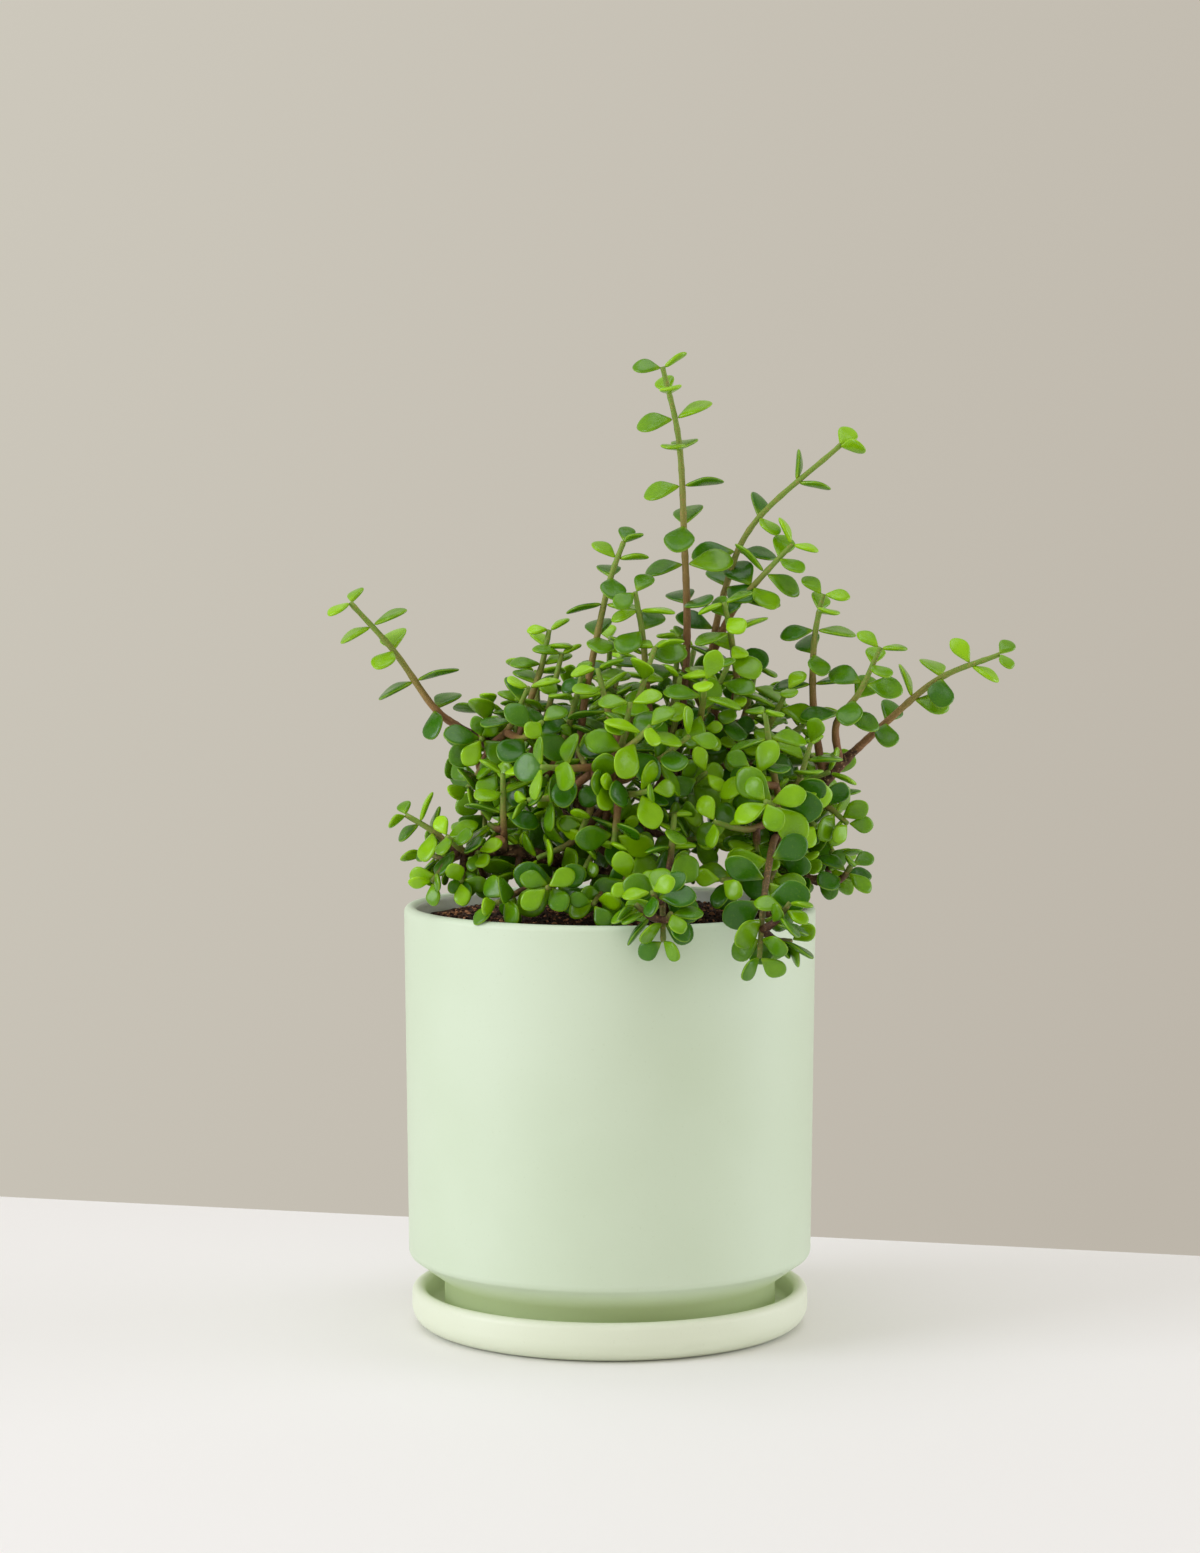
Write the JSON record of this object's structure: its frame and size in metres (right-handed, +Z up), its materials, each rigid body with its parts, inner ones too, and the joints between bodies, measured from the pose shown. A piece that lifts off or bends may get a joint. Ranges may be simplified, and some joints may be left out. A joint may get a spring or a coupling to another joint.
{
  "type": "potted elephant bush",
  "caption": "Small-leaved succulent shrub with woody stems and arching leafy shoots, growing in a straight-sided glazed pot that stands on a shallow matching saucer.",
  "frame": {"origin": "centre of the saucer's flat underside, on the axis of the saucer and the pot", "axes": "+Z up, +X to the right as seen from the front, -Y to the front"},
  "size_m": [0.2507, 0.1695, 0.3544],
  "materials": {
    "glaze": "satin-matte pale green glazed stoneware",
    "soil": "rough crumbly potting mix",
    "bark": "rough brown bark",
    "leaf": "satin fleshy green leaf"
  },
  "bodies": {
    "root": {"saucer": "glaze", "pot": "glaze", "soil": "soil", "trunk_left": "bark", "trunk_middle": "bark", "trunk_right": "bark", "pruned_stub": "bark", "shoot_crown_01": "leaf", "shoot_crown_02": "leaf", "shoot_crown_03": "leaf", "shoot_crown_04": "leaf", "shoot_crown_05": "leaf", "shoot_crown_06": "leaf", "shoot_crown_07": "leaf", "shoot_crown_08": "leaf", "shoot_crown_09": "leaf", "shoot_crown_10": "leaf", "shoot_crown_11": "leaf", "shoot_crown_12": "leaf", "shoot_crown_13": "leaf", "shoot_crown_14": "leaf", "shoot_crown_15": "leaf", "shoot_crown_16": "leaf", "shoot_crown_18": "leaf", "shoot_crown_19": "leaf", "shoot_crown_20": "leaf", "shoot_crown_21": "leaf", "shoot_crown_22": "leaf", "shoot_crown_23": "leaf", "shoot_crown_24": "leaf", "shoot_crown_25": "leaf", "shoot_crown_26": "leaf", "shoot_crown_27": "leaf", "shoot_crown_28": "leaf", "shoot_crown_29": "leaf", "shoot_far_left": "leaf", "shoot_far_right": "leaf", "shoot_front_bright": "leaf", "shoot_front_centre": "leaf", "shoot_front_left_low": "leaf", "shoot_front_middle_hanging": "leaf", "shoot_front_middle_low": "leaf", "shoot_front_right_hanging": "leaf", "shoot_front_right_low": "leaf", "shoot_inner_left": "leaf", "shoot_inner_right": "leaf", "shoot_leader": "leaf", "shoot_low_left": "leaf", "shoot_low_right": "leaf", "shoot_right_droop": "leaf", "shoot_right_leaning": "leaf", "shoot_right_upright": "leaf", "shoot_upper_left": "leaf", "shoot_upper_left_low": "leaf", "shoot_upper_right": "leaf"}
  },
  "joints": []
}
